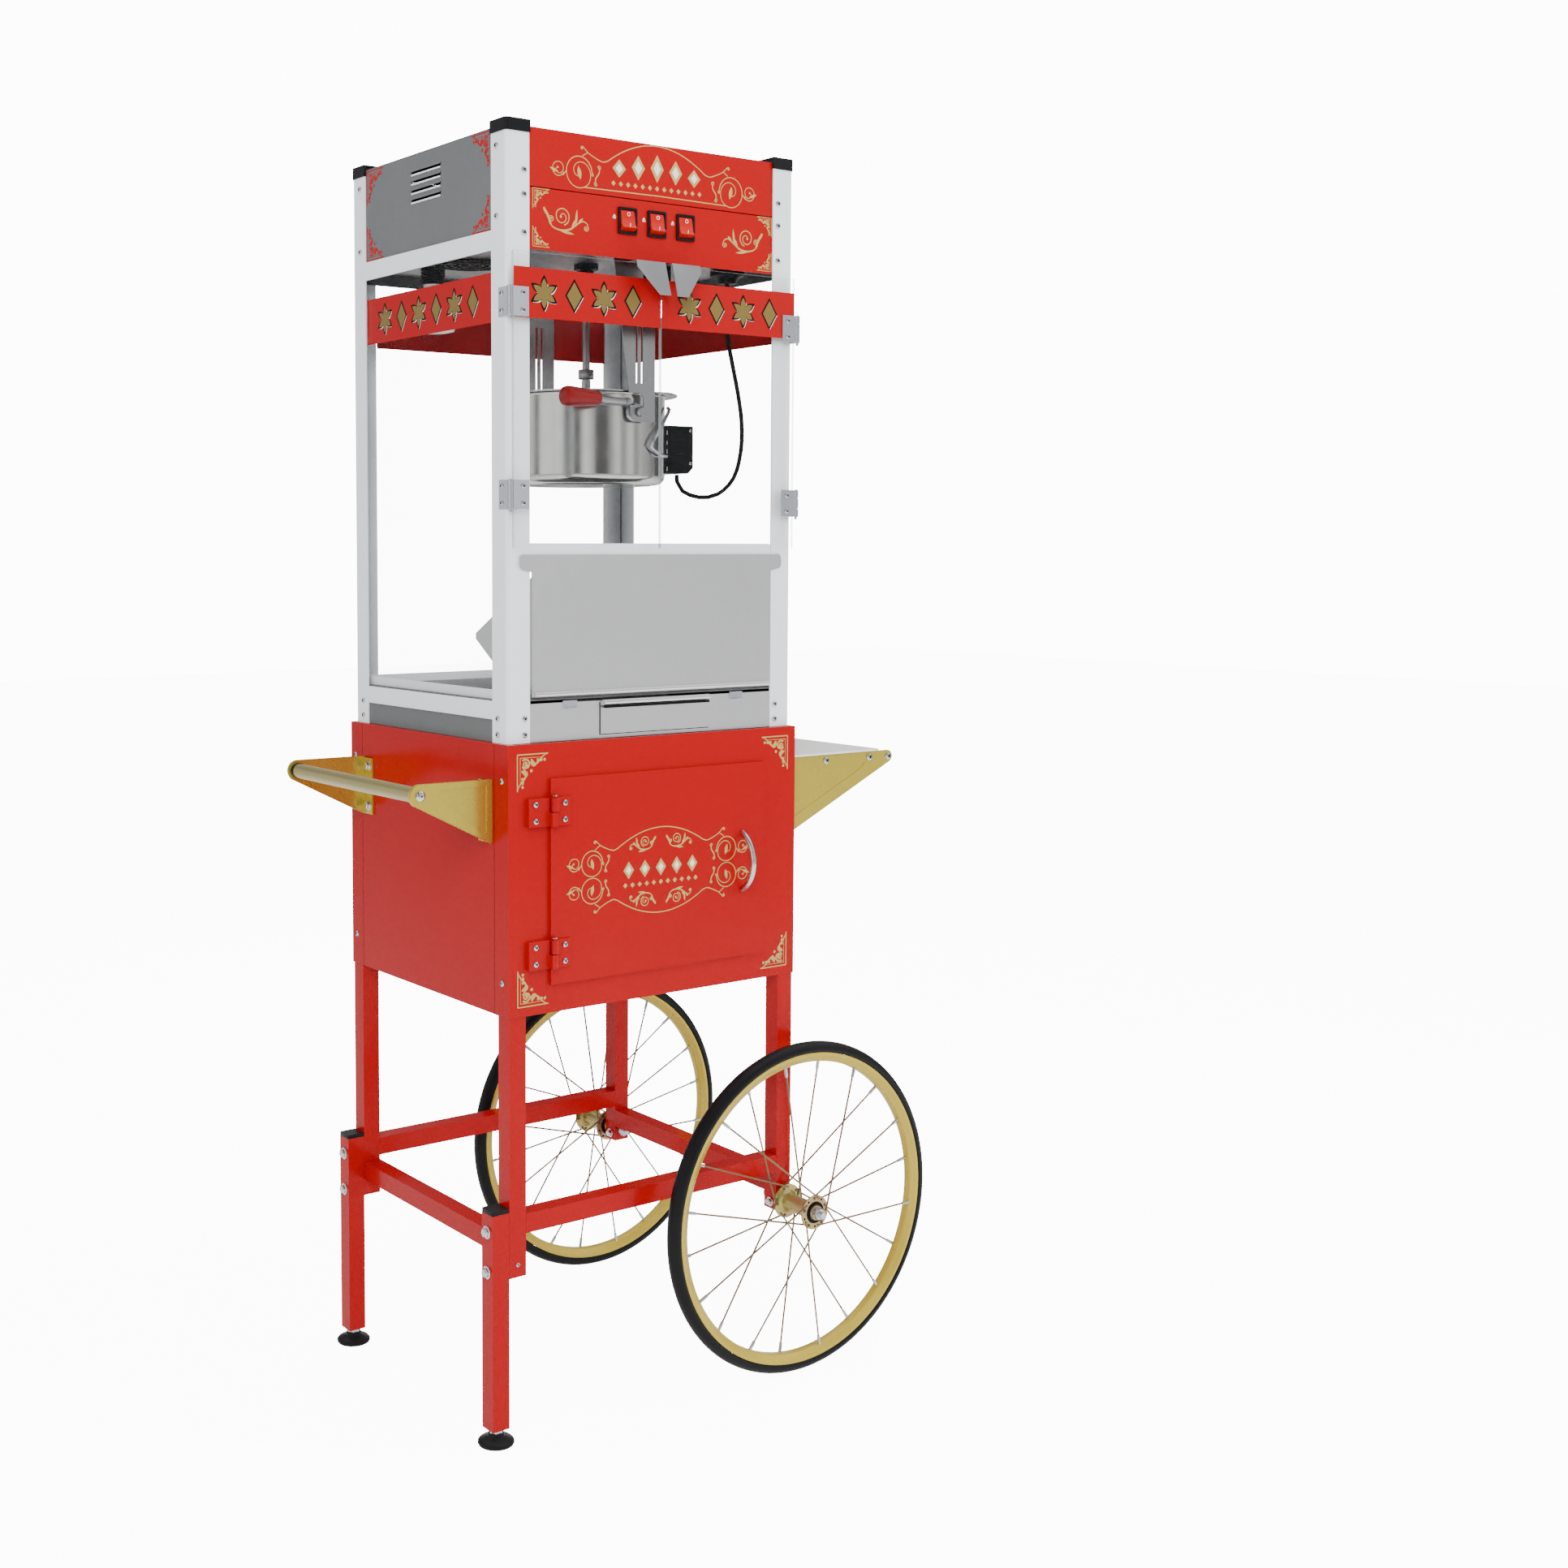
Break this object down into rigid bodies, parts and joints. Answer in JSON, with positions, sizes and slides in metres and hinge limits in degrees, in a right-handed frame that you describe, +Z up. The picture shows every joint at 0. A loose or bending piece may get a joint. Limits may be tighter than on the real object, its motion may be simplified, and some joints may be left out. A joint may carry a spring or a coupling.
{
  "type": "popcorn maker on a cart",
  "caption": "Glass-sided popcorn maker with a hanging tilt kettle, tilting front panel and crumb drawer, on a cabinet cart with spoked wheels, push handle and side shelf.",
  "frame": {"origin": "on the floor, under the centre of the whole outline", "axes": "+Z up, -Y to the front where the doors open, +X to the side with the wheels and shelf"},
  "size_m": [0.8003, 0.573, 1.65],
  "materials": {
    "red_paint": "glossy red powder coat",
    "silver_paint": "satin silver extrusion",
    "grey_sheet": "grey painted sheet",
    "steel": "polished stainless steel",
    "chrome": "bright chrome",
    "gold_zinc": "yellow zinc plating",
    "black_plastic": "black moulded plastic",
    "tyre_rubber": "solid black rubber",
    "clear_pane": "clear tempered glass",
    "red_grip": "dark red moulded grip",
    "red_switch": "translucent red rocker",
    "white_sheet": "white painted sheet"
  },
  "bodies": {
    "cart": {"side_frame_left": "red_paint", "side_frame_right": "red_paint", "stretcher_front": "red_paint", "stretcher_back": "red_paint", "cabinet_hinge_upper": "red_paint", "cabinet_hinge_lower": "red_paint", "corner_post_front_left": "silver_paint", "corner_post_front_right": "silver_paint", "corner_post_back_left": "silver_paint", "corner_post_back_right": "silver_paint", "handle_bracket_front": "gold_zinc", "handle_bracket_back": "gold_zinc", "handle_bar": "gold_zinc", "shelf_bracket_front": "gold_zinc", "shelf_bracket_back": "gold_zinc", "shelf_top": "white_sheet", "front_leg": "red_paint", "back_leg": "red_paint", "cabinet_shell": "red_paint", "front_axle": "chrome", "back_axle": "chrome", "base_pan": "grey_sheet", "front_rail": "steel", "kick_panel": "steel", "left_glass": "clear_pane", "right_glass": "clear_pane", "back_glass": "clear_pane", "ceiling_plate": "steel", "switch_panel": "red_paint", "roof_cover": "red_paint", "housing_wrap": "grey_sheet", "gear_motor": "steel", "front_hanger": "steel", "back_hanger": "steel", "heat_lamp": "black_plastic", "kettle_socket": "black_plastic", "kettle_cord": "black_plastic"},
    "front_foot": {"front_foot": "black_plastic"},
    "back_foot": {"back_foot": "black_plastic"},
    "front_wheel": {"front_wheel": "gold_zinc", "front_tyre": "tyre_rubber"},
    "back_wheel": {"back_wheel": "gold_zinc", "back_tyre": "tyre_rubber"},
    "cabinet_door": {"cabinet_door": "red_paint", "door_pull": "chrome"},
    "glass_door_left": {"glass_door_left": "clear_pane"},
    "glass_door_right": {"glass_door_right": "clear_pane"},
    "crumb_drawer": {"crumb_drawer": "steel"},
    "tilt_panel": {"tilt_panel": "steel"},
    "drive_rod": {"drive_rod": "steel"},
    "kettle": {"kettle_pot": "steel", "lid_bar": "steel", "kettle_handle": "red_grip", "terminal_box": "black_plastic"},
    "kettle_lid_left": {"kettle_lid_left": "steel"},
    "kettle_lid_right": {"kettle_lid_right": "steel"},
    "agitator": {"agitator": "steel"},
    "rocker_left": {"rocker_left": "red_switch"},
    "rocker_middle": {"rocker_middle": "red_switch"},
    "rocker_right": {"rocker_right": "red_switch"}
  },
  "joints": [
    {"name": "front_foot_screw", "type": "slide", "parent": "cart", "child": "front_foot", "axis": [0, 0, -1], "range_m": [0, 0.02]},
    {"name": "back_foot_screw", "type": "slide", "parent": "cart", "child": "back_foot", "axis": [0, 0, -1], "range_m": [0, 0.02]},
    {"name": "front_wheel_spin", "type": "hinge", "parent": "cart", "child": "front_wheel", "pos_m": [0.17155, -0.24, 0.2286], "axis": [0, 1, 0], "continuous": true},
    {"name": "back_wheel_spin", "type": "hinge", "parent": "cart", "child": "back_wheel", "pos_m": [0.17155, 0.24, 0.2286], "axis": [0, 1, 0], "continuous": true},
    {"name": "cabinet_door_hinge", "type": "hinge", "parent": "cart", "child": "cabinet_door", "pos_m": [-0.21855, -0.2136, 0.712], "axis": [0, 0, -1], "range_deg": [0, 145]},
    {"name": "glass_door_left_hinge", "type": "hinge", "parent": "cart", "child": "glass_door_left", "pos_m": [-0.27805, -0.206, 1.31], "axis": [0, 0, -1], "range_deg": [0, 165]},
    {"name": "glass_door_right_hinge", "type": "hinge", "parent": "cart", "child": "glass_door_right", "pos_m": [0.18195, -0.206, 1.31], "axis": [0, 0, 1], "range_deg": [0, 165]},
    {"name": "crumb_drawer_slide", "type": "slide", "parent": "cart", "child": "crumb_drawer", "axis": [0, -1, 0], "range_m": [0, 0.17]},
    {"name": "tilt_panel_hinge", "type": "hinge", "parent": "cart", "child": "tilt_panel", "pos_m": [-0.04805, -0.1968, 0.9455], "axis": [1, 0, 0], "range_deg": [0, 45]},
    {"name": "drive_rod_spin", "type": "hinge", "parent": "cart", "child": "drive_rod", "pos_m": [-0.04805, -0.038, 1.43], "axis": [0, 0, 1], "continuous": true},
    {"name": "kettle_tilt", "type": "hinge", "parent": "cart", "child": "kettle", "pos_m": [-0.04605, -0.038, 1.309], "axis": [0, -1, 0], "range_deg": [0, 42]},
    {"name": "kettle_lid_left_hinge", "type": "hinge", "parent": "kettle", "child": "kettle_lid_left", "pos_m": [-0.05655, -0.038, 1.3368], "axis": [0, 1, 0], "range_deg": [0, 75]},
    {"name": "kettle_lid_right_hinge", "type": "hinge", "parent": "kettle", "child": "kettle_lid_right", "pos_m": [-0.03955, -0.038, 1.3368], "axis": [0, -1, 0], "range_deg": [0, 75]},
    {"name": "agitator_spin", "type": "hinge", "parent": "kettle", "child": "agitator", "pos_m": [-0.04805, -0.038, 1.29], "axis": [0, 0, 1], "continuous": true},
    {"name": "rocker_left_press", "type": "hinge", "parent": "cart", "child": "rocker_left", "pos_m": [-0.09355, -0.1895, 1.5448], "axis": [1, 0, 0], "range_deg": [0, 14]},
    {"name": "rocker_middle_press", "type": "hinge", "parent": "cart", "child": "rocker_middle", "pos_m": [-0.04705, -0.1895, 1.5448], "axis": [1, 0, 0], "range_deg": [0, 14]},
    {"name": "rocker_right_press", "type": "hinge", "parent": "cart", "child": "rocker_right", "pos_m": [-0.00065, -0.1895, 1.5448], "axis": [1, 0, 0], "range_deg": [0, 14]}
  ],
  "couplings": [
    {"joint": "agitator_spin", "follows": "drive_rod_spin", "ratio": 1}
  ]
}
